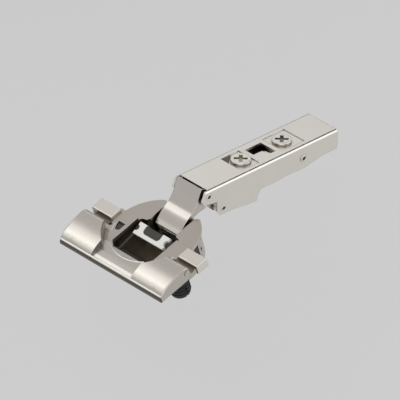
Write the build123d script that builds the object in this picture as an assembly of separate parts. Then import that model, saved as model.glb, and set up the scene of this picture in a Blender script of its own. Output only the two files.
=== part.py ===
from build123d import *
import os
from math import cos, pi, radians, sin, sqrt

# Lengths are in millimetres. The origin lies on the cup axis in the plane of the door face.
# Z points out of the door and X points from the cup to the arm. The arm is drawn fully open.

# Cup pressed into a bored hole in the door
CUP_R = 17.5
CUP_DEPTH = 12.7
CUP_FLOOR = 1.0
CUP_EDGE_R = 0.9
CUP_SLOPE_RUN = 2.6
CUP_SLOPE_RISE = 4.4
FLANGE_R = 18.75
FLANGE_T = 0.9
PLATE_TOP = 2.0
PLATE_FRONT_X = -13.6
PLATE_BACK_X = 2.9
EAR_BACK_X = 1.2
EAR_HOLE_X = -5.3
EAR_HOLE_R = 0.7
RIM_R = 17.3
RIM_STEP_R = 15.9
RIM_STEP = 0.4
OPENING_R = 15.2
OPENING_FRONT_X = 2.0 - OPENING_R
OPENING_BACK_X = 4.4
OPENING_HALF_W = OPENING_R - 4.55
REAR_WALL_T = 1.5
REAR_WALL_DROP = 1.9
SLOT_LIP_R = 1.6

# Arm in its own frame: U runs along the arm from its front edge, W rises from its flat top
ARM_X = 24.5
ARM_Z = 8.5
ARM_PITCH = 18.2
ARM_HALF_W = 8.4
ARM_SHEET = 1.0
ARM_EDGE_R = 1.25
ARM_LENGTH = 67.6
ARM_OUTLINE = [
    (-1.7, 0), (ARM_LENGTH, 0), (ARM_LENGTH, -8.3), (59.3, -8.3), (55.7, -9.2), (48.7, -10.1),
    (42.0, -9.7), (35.5, -10.2), (27.2, -10.1), (25.7, -12.3), (25.2, -14.6), (20.3, -14.2),
    (14.4, -13.4), (5.9, -13.1), (4.6, -11.0), (4.4, -6.6), (-1.0, -5.8), (-2.0, -6.4), (-3.3, -4.0),
]
OUTER_PIN_UW = (0.0, -2.6)
INNER_PIN_UW = (7.8, -10.6)
TILT_UW = (49.5, -5.4)

# Closed pose: the arm stands on the door with its flat top at CLOSED_X and its front edge at CLOSED_Z
CLOSED_X = -10.5
CLOSED_Z = 1.5
OUTER_CUP_PIN_Z = -6.5
INNER_CUP_PIN_Z = -3.0
PIN_R = 1.1
ARM_PIN_R = 0.95
RUN_FIT = 0.05
SEAT_FIT = 0.01
PIN_WALL_INSET = 0.2

# Links
LINK_SHEET = 1.2
LINK_EYE_R = 2.2
LINK_ARM_GAP = 0.9
LINK_SLOT_GAP = 1.0
LINK_GAP = 0.7
OUTER_LINK_HALF_W = ARM_HALF_W - ARM_SHEET - LINK_ARM_GAP
SLOT_HALF_W = OUTER_LINK_HALF_W + LINK_SLOT_GAP
OPENING_CORNER_R = (OPENING_HALF_W - SLOT_HALF_W) / 2 - RUN_FIT
LINK_WEB_DROP = (0.72, -0.96)
OUTER_LINK_TOP = [
    (22.7, 9.9), (20.9, 8.1), (19.5, 6.25), (17.6, 4.45), (15.6, 3.05), (13.2, 2.1), (10.8, 0.95),
    (8.6, -0.45), (7.0, -1.7),
]
OUTER_LINK_EYE_UW = [(-0.6, 0.3), (-0.5, -1.3), (1.6, -1.3), (2.2, -2.6), (1.6, -4.2)]
OUTER_LINK_EDGE = [
    (21.9, 0.5), (18.6, 1.0), (15.8, 0.7), (13.4, -0.2), (11.2, -0.6), (9.9, -2.2), (9.9, -6.5),
    (7.9, -6.5),
]
INNER_LINK_HALF_W = OUTER_LINK_HALF_W - LINK_SHEET - LINK_GAP
INNER_LINK_SIDE = [
    (12.3, -1.0), (14.7, 0.9), (17.4, 2.1), (21.6, 2.5), (24.4, 1.6), (29.5, -2.0), (30.2, -5.8),
    (27.2, -6.6), (22.7, 0.4), (17.3, 0.4), (15.6, -0.6), (13.3, -4.4),
]
INNER_EYE_R = 2.7
LOOSE_EYE_R = 1.6
LOOSE_EYE_SHIFT = 2.15
LOOSE_EYE_LIFT = 0.27

# Clamp flap and the anchors it works
FLAP_HALF_W = 28.0
FLAP_SHEET = 0.9
FLAP_EDGE_R = 0.6
FLAP_SIDE_GAP = 0.5
PLATE_HALF_W = FLAP_HALF_W - FLAP_SHEET - FLAP_SIDE_GAP
PLATE_BACK_INSET = 8.0
PLATE_BACK_HALF_W = FLAP_HALF_W - PLATE_BACK_INSET
EAR_HOLE_INSET = 10.6
EAR_HOLE_Y = FLAP_HALF_W - EAR_HOLE_INSET
FLAP_INNER_Y = 11.0
FLAP_RIM_GAP = 0.15
FLAP_CLEAR_R = FLANGE_R + FLAP_RIM_GAP
FLAP_STRIP_R = 15.9
FLAP_TOP = [
    (-22.8, 1.5), (-21.7, 3.15), (-19.2, 4.55), (-16.4, 5.4), (-13.4, 6.1), (-10.6, 6.45), (-8.2, 6.25),
    (-6.9, 5.0),
]
FLAP_FOOT = [(-6.7, 2.3), (-8.3, 0.3), (-22.8, 0.3)]
FLAP_STRIP = [
    (-22.8, 0.3), (-22.8, 1.5), (-21.8, 2.25), (-20.0, 2.75), (-17.6, 3.0), (-13.0, 3.1), (-13.0, 2.2),
    (-17.6, 2.1), (-20.0, 1.85), (-21.3, 1.4), (-21.9, 0.9), (-21.9, 0.3),
]
FLAP_PIVOT_X = -8.2
FLAP_PIVOT_Z = 3.55
FLAP_PIN_R = 0.6
FLAP_PIN_HEAD_R = 1.2
FLAP_PIN_HEAD_T = 0.25
LUG_R = 1.0
LUG_T = 0.8
CAP_FRONT_X = -3.9
CAP_BACK_X = 1.6
CAP_OVERHANG = 0.8
CAP_OUT_Y = FLAP_HALF_W + CAP_OVERHANG
CAP_WIDTH = 10.4
CAP_IN_Y = CAP_OUT_Y - CAP_WIDTH
CAP_TOP = 3.7
CAP_SHEET = 0.9
CAP_EDGE_R = 0.5
DOWEL_X = -9.5
DOWEL_INSET = 5.5
DOWEL_Y = FLAP_HALF_W - DOWEL_INSET
DOWEL_R = 3.9
DOWEL_DEPTH = 9.0
DOWEL_EDGE_R = 1.6
DOWEL_HEAD = 0.4
DOWEL_NECK_R = 3.0
DOWEL_SLIT = 0.8
DOWEL_SLIT_DEPTH = 5.5
EXPANDER_R = 1.5
EXPANDER_HEAD_R = 2.4
EXPANDER_HEAD_T = 0.6
EXPANDER_LENGTH = 8.0
EXPANDER_FIT = 0.1
PLUG_X = (4.2, 8.0)
PLUG_Z = (-7.6, -1.7)
PLUG_IN_Y = 13.4
PLUG_INSET = 0.15

# Soft-close damper
DAMPER_SETBACK = 2.8
DAMPER_PIVOT_X = OPENING_FRONT_X + DAMPER_SETBACK
DAMPER_PIVOT_Z = -3.2
DAMPER_SHAFT_R = 0.9
DAMPER_BARREL_R = 1.5
DAMPER_SIDE_GAP = 0.24
DAMPER_BARREL_HALF_W = sqrt(OPENING_R**2 - OPENING_FRONT_X**2) - DAMPER_SIDE_GAP
DAMPER_FIT = 0.08
LEVER_X = -3.0
LEVER_Z = 0.5
LEVER_TILT = 19.0
LEVER_SIDE_T = 1.0
LEVER_EYE_R = 1.35
LEVER_GAP = 0.44
LEVER_HALF_W = sqrt(OPENING_R**2 - (DAMPER_PIVOT_X - LEVER_EYE_R) ** 2) - LEVER_GAP
LEVER_BLOCK_END = 4.9
LEVER_BLOCK_HALF_W = 4.3
LEVER_DEPTH = 2.2
LEVER_NOSE_R = 1.5
CAP_SHOE_HALF_W = 8.1
CAP_SHOE_LENGTH = 5.2
CAP_SHOE_T = 1.3
CAP_SHOE_BAR = 1.6
CAP_SHOE_NOTCH_R = 1.25
CAP_SHOE_NOTCH_P = 2.6
SHOE_FIT = 0.1
SWITCH_BACK_X = -2.3
SWITCH_Y = OPENING_HALF_W + 1.55
SWITCH_WINDOW = [
    (SWITCH_BACK_X, SWITCH_Y + 3.6), (SWITCH_BACK_X, SWITCH_Y), (-5.6, SWITCH_Y), (-6.3, SWITCH_Y + 0.7),
    (-6.1, SWITCH_Y + 2.0), (-4.6, SWITCH_Y + 2.8),
]
SWITCH_DEPTH = 1.6
SWITCH_T = 1.2
SWITCH_FIT = 0.2
SWITCH_TRAVEL = 0.8

# Adjusters and clip inside the arm
SIDE_SCREW_U = 24.35
SIDE_SCREW_HEAD_R = 4.0
SIDE_SHANK_R = 2.4
SIDE_SHANK_LENGTH = 7.4
SIDE_RECESS_ENDS = (19.3, 28.7)
DEPTH_SCREW_U = 45.9
DEPTH_SCREW_HEAD_R = 3.8
DEPTH_SHANK_R = 2.2
DEPTH_RECESS_ENDS = (41.0, 52.6)
RECESS_HALF_W = 5.7
RECESS_DEPTH = 0.4
HEAD_RISE = 0.9
HEAD_EDGE_R = 0.4
CROSS_W = 1.4
CROSS_L = 5.2
CROSS_DEPTH = 0.9
SHANK_FIT = 0.3
SPIRAL_DISC_R = 6.4
SPIRAL_DISC_T = 1.2
SPIRAL_GAP = 0.3
SPIRAL_REST_R = 3.0
SPIRAL_LEAD = 6.0
SPIRAL_TURN = (-120.0, 180.0)
SPIRAL_STEPS = 24
SPIRAL_DEPTH = 0.75
FOLLOWER_R = 0.65
FOLLOWER_FIT = 0.25
FOLLOWER_REACH = 0.3
WINDOW_OUTLINE = [(30.7, 4.4), (39.0, 4.4), (39.0, -3.8), (36.6, -3.8), (35.0, -0.4), (30.7, -0.3)]
CARRIER_GAP = 0.8
CARRIER_HALF_W = ARM_HALF_W - ARM_SHEET - CARRIER_GAP
CARRIER_ENDS = (14.0, 60.0)
CARRIER_TOP = -3.4
CARRIER_BOTTOM = -8.0
CARRIER_SHEET = 1.0
BASE_GAP = 0.4
BASE_HALF_W = CARRIER_HALF_W - CARRIER_SHEET - BASE_GAP
BASE_SHEET = 1.0
BASE_TRAVEL = (-3.0, 2.0)
BASE_OUTLINE = [
    (18.0, -4.7), (64.5, -4.7), (64.5, -8.2), (56.0, -8.2), (30.0, -9.6), (26.2, -12.8), (20.0, -13.2),
    (19.2, -11.8), (22.6, -11.2), (22.6, -9.4), (18.0, -9.0),
]
BASE_TOP_END_U = 58.4
STUD_R = 1.25
STUD_HEAD_R = 1.7
STUD_HEAD_T = 0.2
LATCH_UW = (61.5, -7.2)
LATCH_EYE_R = 0.95
LATCH_PIN_R = 0.5
LATCH_HALF_W = BASE_HALF_W - BASE_SHEET - BASE_GAP
LATCH_OUTLINE = [
    (61.5, -6.25), (66.3, -5.5), (66.3, -6.6), (62.4, -7.6), (61.5, -8.15), (58.2, -8.9), (57.4, -7.6),
]
LATCH_COIL_R = 0.85
LATCH_WIRE_R = 0.2
LATCH_COIL_W = 2.0
COIL_R = 1.9
COIL_WIRE_R = 0.35
COIL_PITCH = 0.75
COIL_TURNS = 2.0
COIL_GAP = 0.5
COIL_IN_Y = INNER_LINK_HALF_W + COIL_GAP


def arm_point(uw):
    """Row position (x, z) of a point given along and above the open arm."""
    pitch = radians(ARM_PITCH)
    x = ARM_X + uw[0] * cos(pitch) + uw[1] * sin(pitch)
    z = ARM_Z - uw[0] * sin(pitch) + uw[1] * cos(pitch)
    return x, z


def cup_pin_point(uw, z):
    """Cup pivot at height z that carries an arm pin from its open place to its closed place."""
    ox, oz = arm_point(uw)
    cx, cz = CLOSED_X - uw[1], CLOSED_Z + uw[0]
    x = (ox + cx) / 2 - (z - (oz + cz) / 2) * (cz - oz) / (cx - ox)
    return x, z


OUTER_CUP_PIN = cup_pin_point(OUTER_PIN_UW, OUTER_CUP_PIN_Z)
INNER_CUP_PIN = cup_pin_point(INNER_PIN_UW, INNER_CUP_PIN_Z)
OUTER_ARM_PIN = arm_point(OUTER_PIN_UW)
INNER_ARM_PIN = arm_point(INNER_PIN_UW)
IN_ARM = Pos(ARM_X, 0, ARM_Z) * Rot(0, ARM_PITCH, 0)
IN_LEVER = Pos(LEVER_X, 0, LEVER_Z) * Rot(0, -LEVER_TILT, 0)


def side_prism(points, y0, y1):
    """Solid with a closed side outline in X and Z, reaching from y0 to y1."""
    outline = Polyline(*[(x, y0, z) for x, z in points], close=True)
    return extrude(make_face(outline), amount=y1 - y0, dir=(0, 1, 0))


def bent_prism(curve, rest, y0, y1):
    """Solid whose side outline runs smoothly through curve and straight through rest."""
    smooth = Spline(*[(x, y0, z) for x, z in curve])
    straight = Polyline(*[(x, y0, z) for x, z in [curve[-1], *rest, curve[0]]])
    return extrude(make_face(smooth + straight), amount=y1 - y0, dir=(0, 1, 0))


def block(x, y, z):
    """Box given by its limits along each axis."""
    size = Box(x[1] - x[0], y[1] - y[0], z[1] - z[0])
    return Pos((x[0] + x[1]) / 2, (y[0] + y[1]) / 2, (z[0] + z[1]) / 2) * size


def cross_pin(point, r, y0, y1):
    """Round pin across the hinge, centred on a point in X and Z."""
    return Pos(point[0], (y0 + y1) / 2, point[1]) * Rot(90, 0, 0) * Cylinder(r, y1 - y0)


def upright(x, y, r, z0, z1):
    """Round post along Z."""
    return Pos(x, y, (z0 + z1) / 2) * Cylinder(r, z1 - z0)


def both_sides(shape):
    """A shape together with its mirror image across the middle plane."""
    return shape + mirror(shape, Plane.XZ)


def wall_reach(x):
    """Half width of the cup's outer wall at x."""
    return sqrt(CUP_R**2 - x**2)


def cup_cavity():
    floor_z = CUP_FLOOR - CUP_DEPTH
    room = block((OPENING_FRONT_X, OPENING_BACK_X), (-OPENING_HALF_W, OPENING_HALF_W), (floor_z, PLATE_TOP))
    room = room & upright(0, 0, OPENING_R, floor_z, PLATE_TOP)
    slot = block((0, CUP_R - REAR_WALL_T), (-SLOT_HALF_W, SLOT_HALF_W), (floor_z, PLATE_TOP))
    gate = block((0, FLANGE_R), (-SLOT_HALF_W, SLOT_HALF_W), (-REAR_WALL_DROP, PLATE_TOP))
    room = room + slot
    corners = room.edges().filter_by(Axis.Z)
    corners = corners.filter_by_position(Axis.X, OPENING_BACK_X - RUN_FIT, OPENING_BACK_X + RUN_FIT)
    return fillet(corners, OPENING_CORNER_R) + gate


def flap_lug():
    y0 = PLATE_HALF_W - LUG_T
    x = (FLAP_PIVOT_X - LUG_R, FLAP_PIVOT_X + LUG_R)
    foot = block(x, (y0, PLATE_HALF_W), (PLATE_TOP - FLANGE_T, FLAP_PIVOT_Z))
    eye = cross_pin((FLAP_PIVOT_X, FLAP_PIVOT_Z), LUG_R, y0, PLATE_HALF_W)
    hole = cross_pin((FLAP_PIVOT_X, FLAP_PIVOT_Z), FLAP_PIN_R + SEAT_FIT, y0, PLATE_HALF_W)
    return foot + eye - hole


def hinge_cup():
    bowl = upright(0, 0, CUP_R, -CUP_DEPTH, 0)
    bowl = fillet(bowl.edges().sort_by(Axis.Z)[0], CUP_EDGE_R)
    front_x, floor_z = -CUP_R, -CUP_DEPTH
    slope = [(front_x, floor_z + CUP_SLOPE_RISE), (front_x + CUP_SLOPE_RUN, floor_z), (front_x, floor_z)]
    bowl = bowl - side_prism(slope, -CUP_R, CUP_R)
    gap = block((0, FLANGE_R), (-SLOT_HALF_W, SLOT_HALF_W), (0, FLANGE_T))
    flange = upright(0, 0, FLANGE_R, 0, FLANGE_T) - gap
    flange = fillet(flange.edges().filter_by(Axis.Z).group_by(Axis.X)[-1], SLOT_LIP_R)
    front = block((-FLANGE_R, PLATE_BACK_X), (-FLANGE_R, FLANGE_R), (0, PLATE_TOP))
    rim = upright(0, 0, RIM_R, 0, PLATE_TOP - RIM_STEP) + upright(0, 0, RIM_STEP_R, 0, PLATE_TOP)
    plate = block((PLATE_FRONT_X, PLATE_BACK_X), (-PLATE_BACK_HALF_W, PLATE_BACK_HALF_W), (0, PLATE_TOP))
    ears = block((PLATE_FRONT_X, EAR_BACK_X), (-PLATE_HALF_W, PLATE_HALF_W), (0, PLATE_TOP))
    body = bowl + flange + (rim & front) + plate + ears - cup_cavity()
    body = body + both_sides(flap_lug()) - both_sides(block(PLUG_X, (PLUG_IN_Y, CUP_R), PLUG_Z))
    for x, z in (OUTER_CUP_PIN, INNER_CUP_PIN):
        body = body - cross_pin((x, z), PIN_R + SEAT_FIT, -wall_reach(x), wall_reach(x))
    shaft = (DAMPER_PIVOT_X, DAMPER_PIVOT_Z)
    reach = wall_reach(DAMPER_PIVOT_X)
    body = body - cross_pin(shaft, DAMPER_SHAFT_R + RUN_FIT, -reach, reach)
    for side in (-1, 1):
        body = body - upright(DOWEL_X, side * DOWEL_Y, DOWEL_NECK_R + SEAT_FIT, 0, PLATE_TOP)
        body = body - upright(EAR_HOLE_X, side * EAR_HOLE_Y, EAR_HOLE_R, 0, PLATE_TOP)
    window = make_face(Polyline(*SWITCH_WINDOW, close=True))
    return body - Pos(0, 0, PLATE_TOP - SWITCH_DEPTH) * extrude(window, amount=SWITCH_DEPTH)


def cup_pin(point):
    reach = wall_reach(point[0] + PIN_R) - PIN_WALL_INSET
    return cross_pin(point, PIN_R, -reach, reach)


def outer_link():
    top = OUTER_LINK_TOP[::-1]
    under = [(x + LINK_WEB_DROP[0], z + LINK_WEB_DROP[1]) for x, z in OUTER_LINK_TOP]
    plate = bent_prism(top, under, -OUTER_LINK_HALF_W, OUTER_LINK_HALF_W)
    inner_y = OUTER_LINK_HALF_W - LINK_SHEET
    edge = [arm_point(uw) for uw in OUTER_LINK_EYE_UW] + OUTER_LINK_EDGE
    cheek = bent_prism(top, edge, inner_y, OUTER_LINK_HALF_W)
    cheek = cheek + cross_pin(OUTER_CUP_PIN, LINK_EYE_R, inner_y, OUTER_LINK_HALF_W)
    body = plate + both_sides(cheek)
    for point, r in ((OUTER_CUP_PIN, PIN_R), (OUTER_ARM_PIN, ARM_PIN_R)):
        body = body - cross_pin(point, r + RUN_FIT, -OUTER_LINK_HALF_W, OUTER_LINK_HALF_W)
    return body


def inner_link():
    y0, y1 = -INNER_LINK_HALF_W, INNER_LINK_HALF_W
    body = side_prism(INNER_LINK_SIDE, y0, y1)
    body = body + cross_pin(INNER_CUP_PIN, LINK_EYE_R, y0, y1)
    body = body + cross_pin(INNER_ARM_PIN, INNER_EYE_R, y0, y1)
    body = body - cross_pin(INNER_CUP_PIN, PIN_R + RUN_FIT, y0, y1)
    x, z = INNER_ARM_PIN[0], INNER_ARM_PIN[1] + LOOSE_EYE_LIFT
    far = (x - LOOSE_EYE_SHIFT, z)
    slot = block((far[0], x), (y0, y1), (z - LOOSE_EYE_R, z + LOOSE_EYE_R))
    slot = slot + cross_pin((x, z), LOOSE_EYE_R, y0, y1) + cross_pin(far, LOOSE_EYE_R, y0, y1)
    return body - slot


def clamp_flap():
    outer = bent_prism(FLAP_TOP, FLAP_FOOT, FLAP_INNER_Y, FLAP_HALF_W)
    outer = fillet(outer.edges().filter_by(GeomType.BSPLINE).sort_by(Axis.Y)[-1], FLAP_EDGE_R)
    under = [(x, z - FLAP_SHEET) for x, z in FLAP_TOP]
    under[0] = (FLAP_TOP[0][0] + FLAP_SHEET, under[0][1])
    foot = [(PLATE_BACK_X, 0), (under[0][0], 0)]
    hollow = bent_prism(under, foot, FLAP_INNER_Y + FLAP_SHEET, FLAP_HALF_W - FLAP_SHEET)
    wing = outer - hollow - upright(0, 0, FLAP_CLEAR_R, 0, FLAP_HALF_W)
    pivot = (FLAP_PIVOT_X, FLAP_PIVOT_Z)
    hole = cross_pin(pivot, FLAP_PIN_R + RUN_FIT, FLAP_HALF_W - FLAP_SHEET, FLAP_HALF_W)
    reach = FLAP_INNER_Y + FLAP_SHEET
    strip = side_prism(FLAP_STRIP, -reach, reach) - upright(0, 0, FLAP_STRIP_R, 0, FLAP_HALF_W)
    return both_sides(wing - hole) + strip


def flap_pins():
    point = (FLAP_PIVOT_X, FLAP_PIVOT_Z)
    pin = cross_pin(point, FLAP_PIN_R, PLATE_HALF_W - LUG_T, FLAP_HALF_W + RUN_FIT)
    y0 = FLAP_HALF_W + RUN_FIT
    pin = pin + cross_pin(point, FLAP_PIN_HEAD_R, y0, y0 + FLAP_PIN_HEAD_T)
    return Compound(children=[pin, mirror(pin, Plane.XZ)])


def anchor_cap(side):
    y = sorted((side * CAP_IN_Y, side * CAP_OUT_Y))
    shell = block((CAP_FRONT_X, CAP_BACK_X), y, (0, CAP_TOP))
    shell = fillet(shell.faces().sort_by(Axis.Z)[-1].edges(), CAP_EDGE_R)
    y = sorted((side * (CAP_IN_Y - CAP_SHEET), side * (CAP_OUT_Y - CAP_SHEET)))
    room = block((CAP_FRONT_X - CAP_SHEET, CAP_BACK_X + CAP_SHEET), y, (0, CAP_TOP - CAP_SHEET))
    tongue_y = sorted((side * CAP_IN_Y, side * (CAP_OUT_Y - CAP_SHEET)))
    tongue = block((CAP_FRONT_X, CAP_BACK_X), tongue_y, (PLATE_TOP, CAP_TOP - CAP_SHEET))
    return shell - room + tongue


def dowel(side):
    body = upright(DOWEL_X, side * DOWEL_Y, DOWEL_R, -DOWEL_DEPTH, 0)
    body = fillet(body.edges().sort_by(Axis.Z)[0], DOWEL_EDGE_R)
    body = body + upright(DOWEL_X, side * DOWEL_Y, DOWEL_NECK_R, 0, PLATE_TOP + DOWEL_HEAD)
    body = body - expander(side, EXPANDER_FIT)
    slit = block(
        (DOWEL_X - DOWEL_SLIT / 2, DOWEL_X + DOWEL_SLIT / 2),
        (side * DOWEL_Y - DOWEL_R, side * DOWEL_Y + DOWEL_R),
        (-DOWEL_DEPTH, DOWEL_SLIT_DEPTH - DOWEL_DEPTH),
    )
    return body - slit


def expander(side, grow=0.0):
    """Wedge pin that spreads a dowel; grown, it makes the room the pin slides in."""
    top = PLATE_TOP + DOWEL_HEAD + grow
    y = side * DOWEL_Y
    shank = upright(DOWEL_X, y, EXPANDER_R + grow, top - EXPANDER_LENGTH - grow, top)
    head = upright(DOWEL_X, y, EXPANDER_HEAD_R + grow, top, top + EXPANDER_HEAD_T)
    return shank + head


def wall_plugs():
    plug = block(PLUG_X, (PLUG_IN_Y, CUP_R), PLUG_Z)
    plug = plug & upright(0, 0, CUP_R - PLUG_INSET, -CUP_DEPTH, 0)
    return Compound(children=[plug, mirror(plug, Plane.XZ)])


def soft_close_switch():
    outline = offset(make_face(Polyline(*SWITCH_WINDOW, close=True)), amount=-SWITCH_FIT)
    key = Pos(0, 0, PLATE_TOP - SWITCH_DEPTH) * extrude(outline, amount=SWITCH_T)
    limit = SWITCH_BACK_X - SWITCH_FIT - SWITCH_TRAVEL
    return key - block((limit, 0), (0, CUP_R), (0, PLATE_TOP))


def damper_barrel():
    y0, y1 = -DAMPER_BARREL_HALF_W, DAMPER_BARREL_HALF_W
    pivot = (DAMPER_PIVOT_X, DAMPER_PIVOT_Z)
    body = cross_pin(pivot, DAMPER_BARREL_R, y0, y1)
    foot_z = (DAMPER_PIVOT_Z - DAMPER_BARREL_R, DAMPER_PIVOT_Z + DAMPER_BARREL_R)
    body = body + block((OPENING_FRONT_X, DAMPER_PIVOT_X), (y0, y1), foot_z)
    return body - cross_pin(pivot, DAMPER_SHAFT_R + DAMPER_FIT, y0, y1)


def damper_rotor():
    pivot = (DAMPER_PIVOT_X, DAMPER_PIVOT_Z)
    reach = wall_reach(DAMPER_PIVOT_X - DAMPER_SHAFT_R) - PIN_WALL_INSET
    return cross_pin(pivot, DAMPER_SHAFT_R, -reach, reach)


def lever_point(p, q):
    """Row position (x, z) of a point given along and above the sloping lever."""
    tilt = radians(LEVER_TILT)
    return LEVER_X + p * cos(tilt) - q * sin(tilt), LEVER_Z + p * sin(tilt) + q * cos(tilt)


def damper_lever():
    base_q = -CAP_SHOE_T - SHOE_FIT
    half = LEVER_BLOCK_HALF_W
    nose = block((CAP_SHOE_BAR + SHOE_FIT, LEVER_BLOCK_END), (-half, half), (-LEVER_DEPTH, 0))
    nose = fillet(nose.edges().filter_by(Axis.Z).group_by(Axis.X)[0], LEVER_NOSE_R - SHOE_FIT)
    bar = block((0, LEVER_BLOCK_END), (-LEVER_HALF_W, LEVER_HALF_W), (-LEVER_DEPTH, base_q))
    pivot = (DAMPER_PIVOT_X, DAMPER_PIVOT_Z)
    ends = [lever_point(LEVER_BLOCK_END / 2, base_q), lever_point(LEVER_BLOCK_END / 2, -LEVER_DEPTH)]
    roots = [(pivot[0], pivot[1] - LEVER_EYE_R), (pivot[0], pivot[1] + LEVER_EYE_R)]
    y0 = LEVER_HALF_W - LEVER_SIDE_T
    strap = side_prism(ends + roots + [lever_point(0, base_q)], y0, LEVER_HALF_W)
    strap = strap + cross_pin(pivot, LEVER_EYE_R, y0, LEVER_HALF_W)
    strap = strap - cross_pin(pivot, DAMPER_SHAFT_R + SEAT_FIT, y0, LEVER_HALF_W)
    return IN_LEVER * (nose + bar) + both_sides(strap)


def damper_shoe():
    body = block((0, CAP_SHOE_LENGTH), (-CAP_SHOE_HALF_W, CAP_SHOE_HALF_W), (-CAP_SHOE_T, 0))
    half = LEVER_BLOCK_HALF_W + SHOE_FIT
    notch = block((CAP_SHOE_BAR, CAP_SHOE_LENGTH), (-half, half), (-CAP_SHOE_T, 0))
    notch = fillet(notch.edges().filter_by(Axis.Z).group_by(Axis.X)[0], LEVER_NOSE_R)
    for side in (-1, 1):
        body = body - upright(CAP_SHOE_NOTCH_P, side * CAP_SHOE_HALF_W, CAP_SHOE_NOTCH_R, -CAP_SHOE_T, 0)
    return IN_LEVER * (body - notch)


def hinge_arm():
    skin = side_prism(ARM_OUTLINE, -ARM_HALF_W, ARM_HALF_W)
    top_edges = skin.edges().filter_by(Axis.X).group_by(Axis.Z)[-1]
    skin = fillet(top_edges, ARM_EDGE_R)
    inner = ARM_HALF_W - ARM_SHEET
    depth = min(w for u, w in ARM_OUTLINE)
    skin = skin - block((-ARM_LENGTH, ARM_LENGTH), (-inner, inner), (depth, -ARM_SHEET))
    skin = skin - block((-ARM_LENGTH, 0), (-inner, inner), (depth, 0))
    for u in (SIDE_RECESS_ENDS, DEPTH_RECESS_ENDS):
        skin = skin - block(u, (-RECESS_HALF_W, RECESS_HALF_W), (-RECESS_DEPTH, 0))
    skin = skin - upright(SIDE_SCREW_U, 0, SIDE_SHANK_R + SHANK_FIT, -ARM_SHEET, 0)
    skin = skin - upright(DEPTH_SCREW_U, 0, DEPTH_SHANK_R + RUN_FIT, -ARM_SHEET, 0)
    window = make_face(Polyline(*[(u, y, -ARM_SHEET) for u, y in WINDOW_OUTLINE], close=True))
    skin = skin - extrude(window, amount=ARM_SHEET, dir=(0, 0, 1))
    for uw in (OUTER_PIN_UW, INNER_PIN_UW):
        skin = skin - cross_pin(uw, ARM_PIN_R + SEAT_FIT, -ARM_HALF_W, ARM_HALF_W)
    return IN_ARM * (skin - cross_pin(TILT_UW, STUD_R + SEAT_FIT, -ARM_HALF_W, ARM_HALF_W))


def arm_pin(uw):
    return IN_ARM * cross_pin(uw, ARM_PIN_R, -ARM_HALF_W, ARM_HALF_W)


def tilt_studs():
    y0 = CARRIER_HALF_W - CARRIER_SHEET
    stud = cross_pin(TILT_UW, STUD_R, y0, ARM_HALF_W)
    stud = stud + cross_pin(TILT_UW, STUD_HEAD_R, ARM_HALF_W, ARM_HALF_W + STUD_HEAD_T)
    return Compound(children=[IN_ARM * stud, IN_ARM * mirror(stud, Plane.XZ)])


def cross_recess(u):
    z = (HEAD_RISE - CROSS_DEPTH, HEAD_RISE)
    long = (-CROSS_L / 2, CROSS_L / 2)
    wide = (-CROSS_W / 2, CROSS_W / 2)
    return Pos(u, 0, 0) * Rot(0, 0, 45) * (block(long, wide, z) + block(wide, long, z))


def screw_head(u, r):
    head = upright(u, 0, r, -RECESS_DEPTH, HEAD_RISE)
    return fillet(head.edges().sort_by(Axis.Z)[-1], HEAD_EDGE_R)


def side_adjust_screw():
    head = screw_head(SIDE_SCREW_U, SIDE_SCREW_HEAD_R)
    shank = upright(SIDE_SCREW_U, 0, SIDE_SHANK_R, -SIDE_SHANK_LENGTH, -RECESS_DEPTH)
    return IN_ARM * (head + shank - cross_recess(SIDE_SCREW_U))


def spiral_side(offset_r):
    """Points of a spiral whose distance from the screw axis grows evenly as the screw turns."""
    points = []
    for i in range(SPIRAL_STEPS + 1):
        turn = SPIRAL_TURN[0] + (SPIRAL_TURN[1] - SPIRAL_TURN[0]) * i / SPIRAL_STEPS
        r = SPIRAL_REST_R + SPIRAL_LEAD * turn / 360 + offset_r
        a = pi + radians(turn)
        points.append((DEPTH_SCREW_U + r * cos(a), r * sin(a)))
    return points


def spiral_groove():
    half = FOLLOWER_R + FOLLOWER_FIT
    near = spiral_side(-half)
    far = spiral_side(half)
    middle = spiral_side(0)
    ends = Line(near[0], far[0]) + Line(near[-1], far[-1])
    groove = make_face(Spline(*near) + Spline(*far) + ends)
    return groove + Pos(*middle[0]) * Circle(half) + Pos(*middle[-1]) * Circle(half)


def depth_adjust_screw():
    head = screw_head(DEPTH_SCREW_U, DEPTH_SCREW_HEAD_R)
    z1 = -ARM_SHEET - SPIRAL_GAP
    z0 = z1 - SPIRAL_DISC_T
    shank = upright(DEPTH_SCREW_U, 0, DEPTH_SHANK_R, z1, -RECESS_DEPTH)
    disc = upright(DEPTH_SCREW_U, 0, SPIRAL_DISC_R, z0, z1)
    groove = Pos(0, 0, z0) * extrude(spiral_groove(), amount=SPIRAL_DEPTH)
    return IN_ARM * (head + shank + disc - groove - cross_recess(DEPTH_SCREW_U))


def adjust_carrier():
    body = block(CARRIER_ENDS, (-CARRIER_HALF_W, CARRIER_HALF_W), (CARRIER_BOTTOM, CARRIER_TOP))
    inner = CARRIER_HALF_W - CARRIER_SHEET
    body = body - block(CARRIER_ENDS, (-inner, inner), (CARRIER_BOTTOM, CARRIER_TOP - CARRIER_SHEET))
    body = body - upright(SIDE_SCREW_U, 0, SIDE_SHANK_R + SHANK_FIT, CARRIER_BOTTOM, CARRIER_TOP)
    rest = DEPTH_SCREW_U - SPIRAL_REST_R
    room = 2 * FOLLOWER_R
    path = (rest + BASE_TRAVEL[0] - room, rest + BASE_TRAVEL[1] + room)
    body = body - block(path, (-room, room), (CARRIER_BOTTOM, CARRIER_TOP))
    return IN_ARM * (body - cross_pin(TILT_UW, STUD_R + RUN_FIT, -CARRIER_HALF_W, CARRIER_HALF_W))


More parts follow.
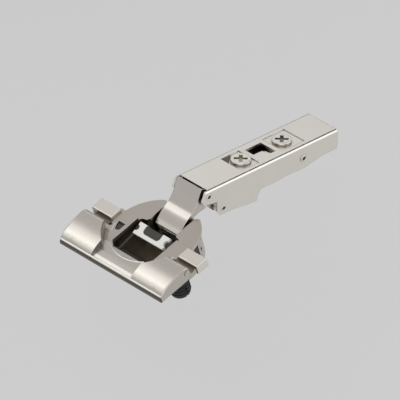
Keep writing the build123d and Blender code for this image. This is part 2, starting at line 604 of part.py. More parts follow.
def clip_base():
    body = side_prism(BASE_OUTLINE, -BASE_HALF_W, BASE_HALF_W)
    top = BASE_OUTLINE[0][1]
    end = BASE_OUTLINE[1][0]
    depth = min(w for u, w in BASE_OUTLINE)
    inner = BASE_HALF_W - BASE_SHEET
    body = body - block((0, end), (-inner, inner), (depth, top - BASE_SHEET))
    body = body - block((BASE_TOP_END_U, end), (-inner, inner), (depth, top))
    shank = SIDE_SHANK_R + SHANK_FIT
    room = (SIDE_SCREW_U - BASE_TRAVEL[1] - shank, SIDE_SCREW_U - BASE_TRAVEL[0] + shank)
    body = body - block(room, (-shank, shank), (depth, top))
    body = body - cross_pin(LATCH_UW, LATCH_PIN_R + SEAT_FIT, -BASE_HALF_W, BASE_HALF_W)
    follower_top = FOLLOWER_REACH - ARM_SHEET - SPIRAL_GAP - SPIRAL_DISC_T
    follower = upright(DEPTH_SCREW_U - SPIRAL_REST_R, 0, FOLLOWER_R, top - BASE_SHEET, follower_top)
    return IN_ARM * (body + follower)


def clip_latch():
    body = side_prism(LATCH_OUTLINE, -LATCH_HALF_W, LATCH_HALF_W)
    body = body + cross_pin(LATCH_UW, LATCH_EYE_R, -LATCH_HALF_W, LATCH_HALF_W)
    body = body - cross_pin(LATCH_UW, LATCH_PIN_R + RUN_FIT, -LATCH_HALF_W, LATCH_HALF_W)
    half = LATCH_COIL_W / 2
    room = LATCH_COIL_R + 2 * LATCH_WIRE_R
    u, w = LATCH_UW
    return IN_ARM * (body - block((u - room, u + room), (-half, half), (w - 2 * room, w + 2 * room)))


def latch_pin():
    return IN_ARM * cross_pin(LATCH_UW, LATCH_PIN_R, -BASE_HALF_W, BASE_HALF_W)


def coil(r, wire_r, pitch, height):
    """Wire coil along Z, standing on the origin."""
    path = Helix(pitch, height, r)
    start = Plane(origin=path @ 0, z_dir=path % 0)
    return sweep(start * Circle(wire_r), path=path)


def latch_spring():
    pitch = 3 * LATCH_WIRE_R
    height = LATCH_COIL_W - 4 * LATCH_WIRE_R
    spring = coil(LATCH_COIL_R, LATCH_WIRE_R, pitch, height)
    return IN_ARM * Pos(LATCH_UW[0], height / 2, LATCH_UW[1]) * Rot(90, 0, 0) * spring


def closing_springs():
    spring = coil(COIL_R, COIL_WIRE_R, COIL_PITCH, COIL_TURNS * COIL_PITCH)
    u, w = INNER_PIN_UW
    spring = Pos(u, COIL_IN_Y, w) * Rot(-90, 0, 0) * spring
    leg = upright(u + COIL_R, COIL_IN_Y, COIL_WIRE_R + RUN_FIT, w - COIL_WIRE_R, -ARM_SHEET)
    spring = spring + leg
    return Compound(children=[IN_ARM * spring, IN_ARM * mirror(spring, Plane.XZ)])


NODES = {
    "hinge_cup": hinge_cup(),
    "outer_cup_pin": cup_pin(OUTER_CUP_PIN),
    "inner_cup_pin": cup_pin(INNER_CUP_PIN),
    "clamp_flap": clamp_flap(),
    "flap_pins": flap_pins(),
    "anchor_cap_left": anchor_cap(1),
    "anchor_cap_right": anchor_cap(-1),
    "dowel_left": dowel(1),
    "dowel_right": dowel(-1),
    "expander_left": expander(1),
    "expander_right": expander(-1),
    "wall_plugs": wall_plugs(),
    "soft_close_switch": soft_close_switch(),
    "damper_barrel": damper_barrel(),
    "damper_rotor": damper_rotor(),
    "damper_lever": damper_lever(),
    "damper_shoe": damper_shoe(),
    "outer_link": outer_link(),
    "inner_link": inner_link(),
    "hinge_arm": hinge_arm(),
    "outer_arm_pin": arm_pin(OUTER_PIN_UW),
    "inner_arm_pin": arm_pin(INNER_PIN_UW),
    "tilt_studs": tilt_studs(),
    "closing_springs": closing_springs(),
    "side_adjust_screw": side_adjust_screw(),
    "depth_adjust_screw": depth_adjust_screw(),
    "adjust_carrier": adjust_carrier(),
    "clip_base": clip_base(),
    "clip_latch": clip_latch(),
    "latch_pin": latch_pin(),
    "latch_spring": latch_spring(),
}

os.makedirs("parts", exist_ok=True)
for name, shape in NODES.items():
    export_step(shape, f"parts/{name}.step")
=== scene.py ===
import bpy
import bmesh
from math import pi, radians
from mathutils import Matrix, Vector


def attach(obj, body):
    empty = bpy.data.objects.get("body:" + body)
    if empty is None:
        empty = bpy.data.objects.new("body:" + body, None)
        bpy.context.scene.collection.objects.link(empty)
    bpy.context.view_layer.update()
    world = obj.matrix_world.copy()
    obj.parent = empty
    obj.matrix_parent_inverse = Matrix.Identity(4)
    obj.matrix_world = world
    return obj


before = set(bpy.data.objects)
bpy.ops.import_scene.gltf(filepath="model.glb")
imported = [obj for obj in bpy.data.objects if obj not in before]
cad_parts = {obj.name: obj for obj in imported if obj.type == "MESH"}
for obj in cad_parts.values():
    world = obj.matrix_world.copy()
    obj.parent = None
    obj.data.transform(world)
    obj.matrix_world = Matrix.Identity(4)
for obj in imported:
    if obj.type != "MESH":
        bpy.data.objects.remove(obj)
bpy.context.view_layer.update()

# Hinge cup: deep-drawn steel with its flange, rim and ears in one piece, nickel plated all over.
# It is pressed into a bored hole in the door. Its hollow and the slits between flap and caps carry painted shade.
# A low bead runs round the hollow beside the flap's wings, plated brighter than the cup as a painted highlight.
BEAD_R, BEAD_PATH_R, BEAD_Z, BEAD_ANGLES = 0.00024, 0.0166, 0.00190, (104.0, 143.0)
HOLLOW_R, HOLLOW_TOP, HOLLOW_SHARE = 0.0156, 0.0005, 0.45
SLIT_FOOT, SLIT_R, SLIT_SHARE = (-0.0047, 0.0175, 0.0020), 0.0015, 0.40
SIDE_FADE, TOP_FADE = 0.00005, 0.0002


def plated_steel(name, tint, roughness, corner_reach, corner_shade, edge_shine):
    """Nickel plating: faint clouds in the colour, a satin grain, a painted highlight along its edges and painted
    shade in its corners.
    """
    plating = bpy.data.materials.new(name)
    plating.use_nodes = True
    nodes, links = plating.node_tree.nodes, plating.node_tree.links
    metal = nodes["Principled BSDF"]
    metal.inputs["Metallic"].default_value = 1.0
    place = nodes.new("ShaderNodeTexCoord").outputs["Object"]

    clouds = nodes.new("ShaderNodeTexNoise")
    clouds.inputs["Scale"].default_value = 120.0
    clouds.inputs["Detail"].default_value = 3.0
    links.new(place, clouds.inputs["Vector"])
    clouded = nodes.new("ShaderNodeMix")
    clouded.data_type = "RGBA"
    clouded.inputs["A"].default_value = (tint[0] * 0.95, tint[1] * 0.95, tint[2] * 0.94, 1.0)
    clouded.inputs["B"].default_value = (*tint, 1.0)
    links.new(clouds.outputs["Fac"], clouded.inputs["Factor"])

    # Painted highlight: where the eased normal turns away from the flat one, along edges, the colour is mixed towards
    # a bright tint.
    eased = nodes.new("ShaderNodeBevel")
    eased.samples = 6
    eased.inputs["Radius"].default_value = 0.00028
    flat = nodes.new("ShaderNodeNewGeometry")
    turned_off = nodes.new("ShaderNodeVectorMath")
    turned_off.operation = "DOT_PRODUCT"
    links.new(eased.outputs["Normal"], turned_off.inputs[0])
    links.new(flat.outputs["Normal"], turned_off.inputs[1])
    painted_edge_highlight = nodes.new("ShaderNodeMapRange")
    painted_edge_highlight.inputs["From Min"].default_value = 0.995
    painted_edge_highlight.inputs["From Max"].default_value = 0.80
    painted_edge_highlight.inputs["To Max"].default_value = edge_shine
    links.new(turned_off.outputs["Value"], painted_edge_highlight.inputs["Value"])
    edge_highlighted = nodes.new("ShaderNodeMix")
    edge_highlighted.data_type = "RGBA"
    edge_highlighted.inputs["B"].default_value = (0.96, 0.94, 0.90, 1.0)
    links.new(painted_edge_highlight.outputs["Result"], edge_highlighted.inputs["Factor"])
    links.new(clouded.outputs["Result"], edge_highlighted.inputs["A"])

    # Painted shade: the colour is darkened in corners and hollows by ambient occlusion.
    corners = nodes.new("ShaderNodeAmbientOcclusion")
    corners.samples = 8
    corners.inputs["Distance"].default_value = corner_reach
    shade = nodes.new("ShaderNodeMapRange")
    shade.inputs["From Min"].default_value = 0.25
    shade.inputs["From Max"].default_value = 0.85
    shade.inputs["To Min"].default_value = corner_shade
    links.new(corners.outputs["AO"], shade.inputs["Value"])
    corner_shaded = nodes.new("ShaderNodeVectorMath")
    corner_shaded.operation = "SCALE"
    links.new(edge_highlighted.outputs["Result"], corner_shaded.inputs[0])
    links.new(shade.outputs["Result"], corner_shaded.inputs["Scale"])
    links.new(corner_shaded.outputs["Vector"], metal.inputs["Base Color"])

    grain = nodes.new("ShaderNodeTexNoise")
    grain.inputs["Scale"].default_value = 420.0
    grain.inputs["Detail"].default_value = 2.0
    links.new(place, grain.inputs["Vector"])
    satin = nodes.new("ShaderNodeMapRange")
    satin.inputs["To Min"].default_value = roughness - 0.012
    satin.inputs["To Max"].default_value = roughness + 0.012
    links.new(grain.outputs["Fac"], satin.inputs["Value"])
    links.new(satin.outputs["Result"], metal.inputs["Roughness"])
    ripple = nodes.new("ShaderNodeBump")
    ripple.inputs["Strength"].default_value = 0.006
    ripple.inputs["Distance"].default_value = 0.00002
    links.new(grain.outputs["Fac"], ripple.inputs["Height"])
    links.new(eased.outputs["Normal"], ripple.inputs["Normal"])
    links.new(ripple.outputs["Normal"], metal.inputs["Normal"])
    return plating


def paint_shade(plating, mask, share):
    """Paints shade onto a plating: takes it down to a share of its colour where the mask is 1."""
    nodes, links = plating.node_tree.nodes, plating.node_tree.links
    colour = nodes["Principled BSDF"].inputs["Base Color"]
    shade_mix = nodes.new("ShaderNodeMix")
    shade_mix.data_type = "RGBA"
    shade_mix.blend_type = "MULTIPLY"
    shade_mix.inputs["B"].default_value = (share, share * 0.96, share * 0.88, 1.0)
    links.new(colour.links[0].from_socket, shade_mix.inputs["A"])
    links.new(mask, shade_mix.inputs["Factor"])
    links.new(shade_mix.outputs["Result"], colour)


def paint_shade_below(plating, foot, axis, radius, level, share):
    """Paints shade onto what lies within a radius of an axis and under a level above its foot."""
    nodes, links = plating.node_tree.nodes, plating.node_tree.links
    away = nodes.new("ShaderNodeVectorMath")
    away.operation = "SUBTRACT"
    away.inputs[1].default_value = foot
    links.new(nodes.new("ShaderNodeTexCoord").outputs["Object"], away.inputs[0])
    across = nodes.new("ShaderNodeVectorMath")
    across.operation = "CROSS_PRODUCT"
    across.inputs[1].default_value = axis
    links.new(away.outputs["Vector"], across.inputs[0])
    reach = nodes.new("ShaderNodeVectorMath")
    reach.operation = "LENGTH"
    links.new(across.outputs["Vector"], reach.inputs[0])
    near = nodes.new("ShaderNodeMapRange")
    near.inputs["From Min"].default_value = radius + SIDE_FADE
    near.inputs["From Max"].default_value = radius
    links.new(reach.outputs["Value"], near.inputs["Value"])
    rise = nodes.new("ShaderNodeVectorMath")
    rise.operation = "DOT_PRODUCT"
    rise.inputs[1].default_value = axis
    links.new(away.outputs["Vector"], rise.inputs[0])
    below = nodes.new("ShaderNodeMapRange")
    below.inputs["From Min"].default_value = level
    below.inputs["From Max"].default_value = level - TOP_FADE
    links.new(rise.outputs["Value"], below.inputs["Value"])
    inside = nodes.new("ShaderNodeMath")
    inside.operation = "MULTIPLY"
    links.new(near.outputs["Result"], inside.inputs[0])
    links.new(below.outputs["Result"], inside.inputs[1])
    paint_shade(plating, inside.outputs["Value"], share)


def give(finish, *names):
    """Puts a finish on the named solids."""
    for name in names:
        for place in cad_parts[name].material_slots:
            place.material = finish


cup_plating = plated_steel("cup_plating", (0.61, 0.56, 0.505), 0.30, 0.0014, 0.5, 0.5)
paint_shade_below(cup_plating, (0, 0, 0), (0, 0, 1), HOLLOW_R, HOLLOW_TOP, HOLLOW_SHARE)
for side in (1, -1):
    foot = (SLIT_FOOT[0], side * SLIT_FOOT[1], SLIT_FOOT[2])
    paint_shade_below(cup_plating, foot, (0, -side, 0), SLIT_R, 0.0, SLIT_SHARE)
give(cup_plating, "hinge_cup")


def fit_piece(name, shape, body, finish):
    """Makes a finished mesh an object of the scene that rides on a body."""
    bmesh.ops.remove_doubles(shape, verts=shape.verts, dist=1e-7)
    bmesh.ops.recalc_face_normals(shape, faces=shape.faces)
    mesh = bpy.data.meshes.new(name)
    shape.to_mesh(mesh)
    shape.free()
    mesh.materials.append(finish)
    piece = bpy.data.objects.new(name, mesh)
    bpy.context.scene.collection.objects.link(piece)
    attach(piece, body)


rim_bead = bmesh.new()
for side in (1, -1):
    first, last = (radians(side * angle) for angle in BEAD_ANGLES)
    wire = bmesh.ops.create_circle(rim_bead, cap_ends=True, segments=12, radius=BEAD_R)["verts"]
    bmesh.ops.rotate(rim_bead, verts=wire, matrix=Matrix.Rotation(pi / 2, 3, "X"))
    bmesh.ops.translate(rim_bead, verts=wire, vec=(BEAD_PATH_R, 0, BEAD_Z))
    bmesh.ops.rotate(rim_bead, verts=wire, matrix=Matrix.Rotation(first, 3, "Z"))
    end = list({face for vert in wire for face in vert.link_faces})
    bmesh.ops.spin(rim_bead, geom=end, axis=(0, 0, 1), angle=last - first, steps=24)
# Painted highlight: the bead is plated much brighter than the cup.
bead_highlight_plating = plated_steel("bead_highlight_plating", (0.86, 0.81, 0.75), 0.30, 0.001, 0.8, 0.2)
fit_piece("rim_bead", rim_bead, "cup", bead_highlight_plating)

# Cup pins, damper shaft and latch pin: plain drawn steel, plated thinly.
# The cup pins are pushed through the cup wall and end just inside its surface.
pin_steel = plated_steel("pin_steel", (0.60, 0.58, 0.54), 0.26, 0.003, 0.25, 0.3)
give(pin_steel, "outer_cup_pin", "inner_cup_pin", "damper_rotor", "latch_pin")

# Dowels: split black plastic plugs under the ears, with ribs round them that grip the wood.
# A wedge pin of the same plastic spreads each one, and two plugs of it close the pockets in the cup wall.
DOWEL_X, DOWEL_Y, DOWEL_R = -0.0095, 0.0225, 0.0039
RIB_R = 0.00032
RIB_LEVELS = (-0.0019, -0.0035, -0.0051, -0.0067)


def moulded_plastic(name, colour, roughness, streak):
    """Moulded plastic: slightly uneven pigment, a fine spark-eroded grain and eased edges."""
    plastic = bpy.data.materials.new(name)
    plastic.use_nodes = True
    nodes, links = plastic.node_tree.nodes, plastic.node_tree.links
    body = nodes["Principled BSDF"]
    body.inputs["Specular IOR Level"].default_value = 0.4
    place = nodes.new("ShaderNodeTexCoord").outputs["Object"]
    flow = nodes.new("ShaderNodeTexNoise")
    flow.inputs["Scale"].default_value = 240.0
    links.new(place, flow.inputs["Vector"])
    pigment = nodes.new("ShaderNodeMix")
    pigment.data_type = "RGBA"
    pigment.inputs["A"].default_value = (*[c * (1 - streak) for c in colour], 1.0)
    pigment.inputs["B"].default_value = (*colour, 1.0)
    links.new(flow.outputs["Fac"], pigment.inputs["Factor"])
    links.new(pigment.outputs["Result"], body.inputs["Base Color"])
    grain = nodes.new("ShaderNodeTexNoise")
    grain.inputs["Scale"].default_value = 2600.0
    links.new(place, grain.inputs["Vector"])
    gloss = nodes.new("ShaderNodeMapRange")
    gloss.inputs["To Min"].default_value = roughness - 0.06
    gloss.inputs["To Max"].default_value = roughness + 0.08
    links.new(grain.outputs["Fac"], gloss.inputs["Value"])
    links.new(gloss.outputs["Result"], body.inputs["Roughness"])
    eased = nodes.new("ShaderNodeBevel")
    eased.samples = 6
    eased.inputs["Radius"].default_value = 0.00025
    pitted = nodes.new("ShaderNodeBump")
    pitted.inputs["Strength"].default_value = 0.10
    pitted.inputs["Distance"].default_value = 0.00003
    links.new(grain.outputs["Fac"], pitted.inputs["Height"])
    links.new(eased.outputs["Normal"], pitted.inputs["Normal"])
    links.new(pitted.outputs["Normal"], body.inputs["Normal"])
    return plastic


black_plastic = moulded_plastic("black_plastic", (0.014, 0.014, 0.013), 0.36, 0.3)
give(black_plastic, "dowel_left", "dowel_right", "expander_left", "expander_right", "wall_plugs")

for side, label in ((1, "left"), (-1, "right")):
    ribs = bmesh.new()
    for level in RIB_LEVELS:
        wire = bmesh.ops.create_circle(ribs, segments=8, radius=RIB_R)["verts"]
        bmesh.ops.rotate(ribs, verts=wire, matrix=Matrix.Rotation(pi / 2, 3, "X"))
        bmesh.ops.translate(ribs, verts=wire, vec=(DOWEL_R, 0, level))
        rim = list({edge for vert in wire for edge in vert.link_edges})
        bmesh.ops.spin(ribs, geom=wire + rim, axis=(0, 0, 1), angle=2 * pi, steps=40, use_merge=True)
    bmesh.ops.translate(ribs, verts=ribs.verts, vec=(DOWEL_X, side * DOWEL_Y, 0))
    fit_piece(f"dowel_ribs_{label}", ribs, "cup", black_plastic)

# Clamp flap: thin sheet pressed to a curve, plated, turning on two headed pins in the ears' lugs.
# A round hem runs along its front edge over a turned-in lip that carries painted shade, the strip between its wings
# has a rolled rear edge, and the wings are turned down at their inner ends and where they are cut round the cup.
# The hem, the roll and the turned-down edges are plated brighter than the flap as a painted highlight,
# and the inner ends are thin dark sheets of painted shade.
HEM_R, HEM_AT, HEM_LENGTH, HEM_END_ROUND = 0.00046, (-0.02195, 0, 0.00248), 0.0553, 0.0002
LIP_X, LIP_REACH, LIP_SHARE = -0.02215, 1.0, 0.20
ROLL_R, ROLL_PATH_R, ROLL_Z, ROLL_HALF_ANGLE = 0.00028, 0.0160, 0.00300, 35.5
WING_CURVE = ((-0.0228, 0.0015), (-0.0217, 0.00315), (-0.0192, 0.00455), (-0.0164, 0.0054), (-0.0134, 0.0061),
              (-0.0106, 0.00645), (-0.0082, 0.00625), (-0.0069, 0.0050))
WING_IN_Y, WING_END_THICK = 0.0110, 0.00005
WING_END = ((-0.0224, 0.0021), (-0.0217, 0.00305), (-0.0192, 0.00448), (-0.0164, 0.00534), (-0.01545, 0.0055),
            (-0.01545, 0.0029), (-0.0176, 0.0029), (-0.0200, 0.00265), (-0.0216, 0.0022))
TURNED_R, TURNED_THICK, TURNED_FOOT, TURNED_TOP = 0.01887, 0.00033, 0.0021, 0.005
TURNED_DROP = 0.00012
TURNED_ANGLES = (115.0, 144.0)

flap_plating = plated_steel("flap_plating", (0.65, 0.615, 0.565), 0.27, 0.002, 0.45, 0.6)
paint_shade_below(flap_plating, (LIP_X, 0, 0), (1, 0, 0), LIP_REACH, 0.0, LIP_SHARE)
give(flap_plating, "clamp_flap", "flap_pins")

hem = bmesh.new()
bmesh.ops.create_cone(hem, cap_ends=True, segments=24, radius1=HEM_R, radius2=HEM_R, depth=HEM_LENGTH)
end_rims = [edge for edge in hem.edges if abs(edge.verts[0].co.z - edge.verts[1].co.z) < 1e-6]
bmesh.ops.bevel(hem, geom=end_rims, offset=HEM_END_ROUND, affect="EDGES", segments=3, profile=0.5, material=-1)
bmesh.ops.rotate(hem, verts=hem.verts, matrix=Matrix.Rotation(pi / 2, 3, "X"))
bmesh.ops.translate(hem, verts=hem.verts, vec=HEM_AT)
# Painted highlight: the hem and the roll are plated much brighter than the flap.
hem_highlight_plating = plated_steel("hem_highlight_plating", (0.95, 0.92, 0.87), 0.34, 0.001, 0.9, 0.2)
fit_piece("flap_hem", hem, "flap", hem_highlight_plating)

roll = bmesh.new()
wire = bmesh.ops.create_circle(roll, cap_ends=True, segments=10, radius=ROLL_R)["verts"]
bmesh.ops.rotate(roll, verts=wire, matrix=Matrix.Rotation(pi / 2, 3, "X"))
bmesh.ops.translate(roll, verts=wire, vec=(ROLL_PATH_R, 0, ROLL_Z))
bmesh.ops.rotate(roll, verts=wire, matrix=Matrix.Rotation(radians(180 - ROLL_HALF_ANGLE), 3, "Z"))
bmesh.ops.spin(roll, geom=list(roll.faces), axis=(0, 0, 1), angle=radians(2 * ROLL_HALF_ANGLE), steps=40)
fit_piece("strip_roll", roll, "flap", hem_highlight_plating)


def thicken(shape, corners, way):
    """Makes a flat face from its corners and thickens it one way."""
    face = shape.faces.new([shape.verts.new(corner) for corner in corners])
    grown = bmesh.ops.extrude_face_region(shape, geom=[face])["geom"]
    bmesh.ops.translate(shape, verts=[part for part in grown if isinstance(part, bmesh.types.BMVert)], vec=way)


wing_ends = bmesh.new()
for side in (1, -1):
    thicken(wing_ends, [(x, side * WING_IN_Y, z) for x, z in WING_END], (0, -side * WING_END_THICK, 0))
# Painted shade: thin dark sheets laid on the wings' inner end walls.
end_shade_paint = plated_steel("wing_end_shade_paint", (0.25, 0.235, 0.21), 0.34, 0.001, 0.9, 0.0)
fit_piece("wing_ends", wing_ends, "flap", end_shade_paint)

turned_edges = bmesh.new()
for side in (1, -1):
    first, last = (radians(side * angle) for angle in TURNED_ANGLES)
    reach = (TURNED_R, TURNED_R + TURNED_THICK)
    section = turned_edges.faces.new([turned_edges.verts.new((r, 0, z)) for r, z in (
        (reach[0], TURNED_FOOT), (reach[1], TURNED_FOOT), (reach[1], TURNED_TOP), (reach[0], TURNED_TOP))])
    bmesh.ops.rotate(turned_edges, verts=section.verts, matrix=Matrix.Rotation(first, 3, "Z"))
    bmesh.ops.spin(turned_edges, geom=[section], axis=(0, 0, 1), angle=last - first, steps=20)
for vert in turned_edges.verts:
    for (x0, z0), (x1, z1) in zip(WING_CURVE, WING_CURVE[1:]):
        if vert.co.z > TURNED_FOOT + 1e-6 and x0 <= vert.co.x < x1:
            vert.co.z = z0 + (z1 - z0) * (vert.co.x - x0) / (x1 - x0) - TURNED_DROP
            break
# Painted highlight: the turned-down edges are plated brighter than the flap.
turned_highlight_plating = plated_steel("turned_highlight_plating", (0.80, 0.76, 0.71), 0.30, 0.001, 0.8, 0.5)
fit_piece("wing_turned_edges", turned_edges, "flap", turned_highlight_plating)

# Caps: folded sheet hoods over the back of the ears, brighter plated than the cup.
# Each one is open to the front, where the flap's edge runs past it, and its front faces carry painted shade.
CAP_FRONT_SHARE = 0.45


def paint_shade_facing(plating, way, share):
    """Paints shade onto the faces of a sheet that look one way."""
    nodes, links = plating.node_tree.nodes, plating.node_tree.links
    look = nodes.new("ShaderNodeVectorMath")
    look.operation = "DOT_PRODUCT"
    look.inputs[1].default_value = way
    links.new(nodes.new("ShaderNodeTexCoord").outputs["Normal"], look.inputs[0])
    towards_it = nodes.new("ShaderNodeMapRange")
    towards_it.inputs["From Min"].default_value = 0.84
    towards_it.inputs["From Max"].default_value = 0.93
    links.new(look.outputs["Value"], towards_it.inputs["Value"])
    paint_shade(plating, towards_it.outputs["Result"], share)


cap_plating = plated_steel("cap_plating", (0.93, 0.87, 0.81), 0.30, 0.003, 0.35, 0.6)
paint_shade_facing(cap_plating, (-1, 0, 0), CAP_FRONT_SHARE)
give(cap_plating, "anchor_cap_left", "anchor_cap_right")

# Damper: a dark moulded lever on a rotary damper, with a white slippery shoe clipped on its end.
# The switch key in the left ear is moulded from the same dark plastic.
grey_plastic = moulded_plastic("grey_plastic", (0.062, 0.062, 0.052), 0.45, 0.25)
give(grey_plastic, "damper_lever", "soft_close_switch")
barrel_plastic = moulded_plastic("barrel_plastic", (0.016, 0.015, 0.012), 0.5, 0.25)
give(barrel_plastic, "damper_barrel")
white_plastic = moulded_plastic("white_plastic", (0.94, 0.93, 0.88), 0.35, 0.03)
give(white_plastic, "damper_shoe")

# Links: blanked and bent steel, plated, hung on the pins of the cup and the arm.
# The inner one lies between the outer one's cheeks and shows as a greyer triangle under the arm; its plating is
# painted lighter than the outer one's, as painted light where it lies in the arm's shade.
link_plating = plated_steel("link_plating", (0.66, 0.62, 0.57), 0.20, 0.002, 0.4, 0.5)
give(link_plating, "outer_link")
inner_plating = plated_steel("inner_plating", (0.84, 0.85, 0.77), 0.34, 0.002, 0.8, 0.3)
give(inner_plating, "inner_link")

# Arm: one long folded channel of plated sheet with rounded top edges and a window stamped through its top.
# A small lug stands into the window, and a thin dark sheet in the recess beside the front screw is painted shade.
ARM_PLACE = Matrix.Translation((0.0245, 0, 0.0085)) @ Matrix.Rotation(radians(18.2), 4, "Y")
ARM_HALF_W = 0.0084
LUG_AT, LUG_R, LUG_STRETCH = (0.0356, -0.0016, -0.0006), 0.0010, (1.15, 0.9, 0.6)
RECESS_SHADE_CORNERS = ((0.0194, 0.0012), (0.0194, 0.0056), (0.0245, 0.0056), (0.0230, 0.0041), (0.0210, 0.0027))
RECESS_SHADE_LEVEL, RECESS_SHADE_THICK = -0.00041, 0.00003

arm_plating = plated_steel("arm_plating", (0.885, 0.855, 0.795), 0.26, 0.0015, 0.3, 0.4)
give(arm_plating, "hinge_arm", "outer_arm_pin", "inner_arm_pin", "tilt_studs")

lug = bmesh.new()
bmesh.ops.create_uvsphere(lug, u_segments=24, v_segments=12, radius=LUG_R)
bmesh.ops.scale(lug, verts=lug.verts, vec=LUG_STRETCH)
bmesh.ops.transform(lug, verts=lug.verts, matrix=ARM_PLACE @ Matrix.Translation(LUG_AT))
# Painted highlight: the lug is plated brighter than the arm.
lug_highlight_plating = plated_steel("lug_highlight_plating", (0.97, 0.95, 0.91), 0.22, 0.0004, 0.9, 0.0)
fit_piece("window_lug", lug, "arm", lug_highlight_plating)

recess_shade = bmesh.new()
thicken(recess_shade, [(u, y, RECESS_SHADE_LEVEL) for u, y in RECESS_SHADE_CORNERS], (0, 0, RECESS_SHADE_THICK))
bmesh.ops.transform(recess_shade, verts=recess_shade.verts, matrix=ARM_PLACE)
recess_shade_paint = plated_steel("recess_shade_paint", (0.17, 0.155, 0.125), 0.40, 0.001, 0.6, 0.2)
fit_piece("recess_shade_sheet", recess_shade, "arm", recess_shade_paint)

# Arm pins and studs: steel pins through the arm's walls, peened over on the outside.
# The punch leaves a rounded collar with a dimple in the middle of each end, coloured dark as painted shade.
PEENED_ENDS = (
    ("outer_pin", 0.0, -0.0026, ARM_HALF_W, 0.0013),
    ("inner_pin", 0.0078, -0.0106, ARM_HALF_W, 0.0013),
    ("stud", 0.0495, -0.0054, ARM_HALF_W + 0.0002, 0.0014),
)
COLLAR_SHAPE = ((1.0, -0.00005), (0.98, 0.00016), (0.84, 0.00030), (0.68, 0.00027), (0.60, 0.00014), (0.60, -0.00005))
DIMPLE_SHAPE = ((0.63, -0.00004), (0.63, 0.00012), (0.40, 0.00006), (0.0, 0.00003))


def turned(shape, outline, place):
    """Turns an outline of (radius, height) pairs about the Z axis and puts it in its place."""
    ring = [shape.verts.new((radius, 0, height)) for radius, height in outline]
    path = [shape.edges.new(pair) for pair in zip(ring, ring[1:])]
    before = set(shape.verts) - set(ring)
    bmesh.ops.spin(shape, geom=ring + path, axis=(0, 0, 1), angle=2 * pi, steps=36, use_merge=True)
    bmesh.ops.transform(shape, verts=[vert for vert in shape.verts if vert not in before], matrix=place)


dimple_shade_paint = plated_steel("dimple_shade_paint", (0.10, 0.095, 0.08), 0.40, 0.001, 0.6, 0.1)
for label, along, drop, wall, radius in PEENED_ENDS:
    collars, dimples = bmesh.new(), bmesh.new()
    for side in (1, -1):
        place = ARM_PLACE @ Matrix.Translation((along, side * wall, drop)) @ Matrix.Rotation(-side * pi / 2, 4, "X")
        turned(collars, [(share * radius, height) for share, height in COLLAR_SHAPE], place)
        turned(dimples, [(share * radius, height) for share, height in DIMPLE_SHAPE], place)
    fit_piece(f"{label}_collars", collars, "arm", arm_plating)
    fit_piece(f"{label}_dimples", dimples, "arm", dimple_shade_paint)

# Springs: two coils of hard wire on the rear arm pin that pull the hinge shut, and a small one at the latch.
# They are wound from bare spring wire, a little darker than the arm's plated sheet; their tint is lighter than bare
# wire, as painted light where they sit in the arm's shade.
spring_steel = plated_steel("spring_steel", (0.78, 0.79, 0.71), 0.28, 0.002, 0.7, 0.2)
give(spring_steel, "closing_springs", "latch_spring")

# Adjusting screws: turned and plated heads, brighter than the arm, each with a cross recess for the driver.
# The recess and the side of the head carry painted shade.
SCREWS = (("side_adjust_screw", 0.02435, 0.90), ("depth_adjust_screw", 0.0459, 0.50))
HEAD_REACH, HEAD_SIDE_TOP, HEAD_SIDE_SHARE = 0.0080, 0.00055, 0.50
RECESS_R, RECESS_TOP = 0.0028, 0.00075
screw_axis = ARM_PLACE.to_3x3() @ Vector((0, 0, 1))
for name, along, recess_share in SCREWS:
    screw_plating = plated_steel(f"{name}_plating", (0.92, 0.89, 0.84), 0.28, 0.0010, 0.5, 0.3)
    seat = ARM_PLACE @ Vector((along, 0, 0))
    paint_shade_below(screw_plating, seat, screw_axis, HEAD_REACH, HEAD_SIDE_TOP, HEAD_SIDE_SHARE)
    paint_shade_below(screw_plating, seat, screw_axis, RECESS_R, RECESS_TOP, recess_share)
    give(screw_plating, name)

# Carrier, clip base and latch: folded plated sheet inside the arm that hooks the hinge on its plate.
# Only their edges show, through the window and from below.
clip_plating = plated_steel("clip_plating", (0.62, 0.60, 0.56), 0.34, 0.006, 0.12, 0.4)
give(clip_plating, "adjust_carrier", "clip_base", "clip_latch")

# Floor: a plain pale sheet some way below the hinge, which keeps a faint shadow.
# The light around it is the same pale grey.
SHEET_HALF, SHEET_LEVEL = 4.0, -0.060
BACKDROP_GREY = (0.604, 0.604, 0.604, 1.0)
PAPER_GREY, PAPER_GLOW = (0.62, 0.62, 0.62, 1.0), (0.647, 0.647, 0.647, 1.0)
GLOW_PART = 0.8


def stage_piece(name, shape, finish):
    """Puts a plain thing of the studio in the scene."""
    mesh = bpy.data.meshes.new(name)
    shape.to_mesh(mesh)
    shape.free()
    mesh.materials.append(finish)
    thing = bpy.data.objects.new(name, mesh)
    bpy.context.scene.collection.objects.link(thing)
    return thing


paper = bpy.data.materials.new("floor_paper")
paper.use_nodes = True
paper_nodes, paper_links = paper.node_tree.nodes, paper.node_tree.links
matt = paper_nodes["Principled BSDF"]
matt.inputs["Base Color"].default_value = PAPER_GREY
matt.inputs["Roughness"].default_value = 0.9
even = paper_nodes.new("ShaderNodeEmission")
even.inputs["Color"].default_value = PAPER_GLOW
path = paper_nodes.new("ShaderNodeLightPath")
seen = paper_nodes.new("ShaderNodeMath")
seen.operation = "MAXIMUM"
paper_links.new(path.outputs["Is Camera Ray"], seen.inputs[0])
paper_links.new(path.outputs["Is Glossy Ray"], seen.inputs[1])
evened = paper_nodes.new("ShaderNodeMath")
evened.operation = "MULTIPLY"
evened.inputs[1].default_value = GLOW_PART
paper_links.new(seen.outputs["Value"], evened.inputs[0])
sheet = paper_nodes.new("ShaderNodeMixShader")
paper_links.new(evened.outputs["Value"], sheet.inputs["Fac"])
paper_links.new(matt.outputs["BSDF"], sheet.inputs[1])
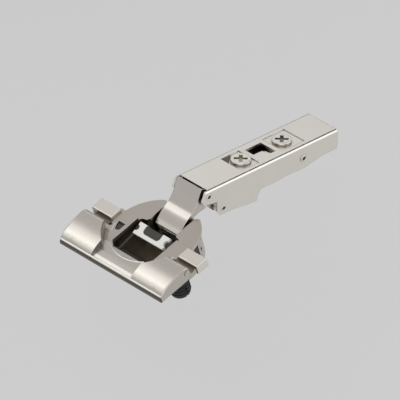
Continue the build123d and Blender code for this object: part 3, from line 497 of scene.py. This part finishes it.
paper_links.new(even.outputs["Emission"], sheet.inputs[2])
paper_links.new(sheet.outputs["Shader"], paper_nodes["Material Output"].inputs["Surface"])

ground = bmesh.new()
bmesh.ops.create_grid(ground, x_segments=1, y_segments=1, size=SHEET_HALF)
bmesh.ops.translate(ground, verts=ground.verts, vec=(0, 0, SHEET_LEVEL))
stage_piece("floor", ground, paper)

studio = bpy.data.worlds.new("studio")
studio.use_nodes = True
studio.node_tree.nodes["Background"].inputs["Color"].default_value = BACKDROP_GREY
bpy.context.scene.world = studio

# Studio lamps: a strip box behind the hinge, a small one over the flap, a broad weak one to the right,
# another in front and a key light.
# A dark card between the two right-hand boxes and a low one behind draw the lines along the arm's long edges.
LAMP_CENTRE = Vector((0.03, 0, 0))
LAMPS = (
    ("back_strip", (-0.18, 0.61, 0.772), 0.8, 0.10, 0.60, 0.22),
    ("back_right", (0.74, 0.63, 0.27), 0.8, 0.50, 0.50, 0.12),
    ("front_right", (0.71, -0.60, 0.30), 0.8, 0.70, 0.60, 0.90),
    ("key", (-0.40, -0.61, 0.68), 0.9, 1.00, 1.00, 1.6),
)
FLAP_BOX_AT, FLAP_BOX_SIZE = (-0.0255, 0.0183, 0.0255), (0.022, 0.068)
FLAP_BOX_POWER, FLAP_BOX_SPREAD = 0.0018, 136.0
CARDS = (
    ("dark_card", (0.82, 0.13, 0.555), 0.75, 0.34, 0.48),
    ("low_card", (0.62, 0.77, -0.10), 0.25, 0.07, 0.30),
)

for label, aim, distance, width, height, power in LAMPS:
    box = bpy.data.lights.new(label, "AREA")
    box.shape = "RECTANGLE"
    box.size = width
    box.size_y = height
    box.energy = power
    stand = bpy.data.objects.new(label, box)
    towards = Vector(aim).normalized()
    stand.location = LAMP_CENTRE + towards * distance
    stand.rotation_mode = "QUATERNION"
    stand.rotation_quaternion = towards.to_track_quat("Z", "Y")
    bpy.context.scene.collection.objects.link(stand)

flap_box = bpy.data.lights.new("flap_strip", "AREA")
flap_box.shape = "RECTANGLE"
flap_box.size, flap_box.size_y = FLAP_BOX_SIZE
flap_box.energy = FLAP_BOX_POWER
flap_box.spread = radians(FLAP_BOX_SPREAD)
flap_stand = bpy.data.objects.new("flap_strip", flap_box)
flap_stand.location = FLAP_BOX_AT
bpy.context.scene.collection.objects.link(flap_stand)

card_black = moulded_plastic("card_black", (0.02, 0.02, 0.02), 0.7, 0.2)
for label, aim, distance, height, width in CARDS:
    towards = Vector(aim).normalized()
    card = bmesh.new()
    bmesh.ops.create_grid(card, x_segments=1, y_segments=1, size=0.5)
    bmesh.ops.scale(card, verts=card.verts, vec=(height, width, 1))
    bmesh.ops.rotate(card, verts=card.verts, matrix=towards.to_track_quat("Z", "X").to_matrix())
    bmesh.ops.translate(card, verts=card.verts, vec=LAMP_CENTRE + towards * distance)
    stage_piece(label, card, card_black).visible_camera = False

# Camera: a long lens that looks down on the hinge from its front left, turned a little on its axis.
# It keeps every edge of the hinge nearly parallel.
SIGHT = Vector((0.02003, -0.00743, 0.00705))
RIGHT = Vector((0.69673, -0.68684, -0.20693)).normalized()
BACK = Vector((-0.39921, -0.61094, 0.68366)).normalized()
DISTANCE, LENS_MM, SENSOR_MM, CLIP_END = 2.648, 634.7, 36.0, 100.0
lens = bpy.data.cameras.new("camera")
lens.sensor_width = SENSOR_MM
lens.lens = LENS_MM
lens.clip_end = CLIP_END
camera = bpy.data.objects.new("camera", lens)
turn = Matrix((RIGHT, BACK.cross(RIGHT), BACK)).transposed().to_4x4()
camera.matrix_world = Matrix.Translation(SIGHT + BACK * DISTANCE) @ turn
bpy.context.scene.collection.objects.link(camera)
bpy.context.scene.camera = camera
bpy.context.scene.view_settings.view_transform = "Standard"
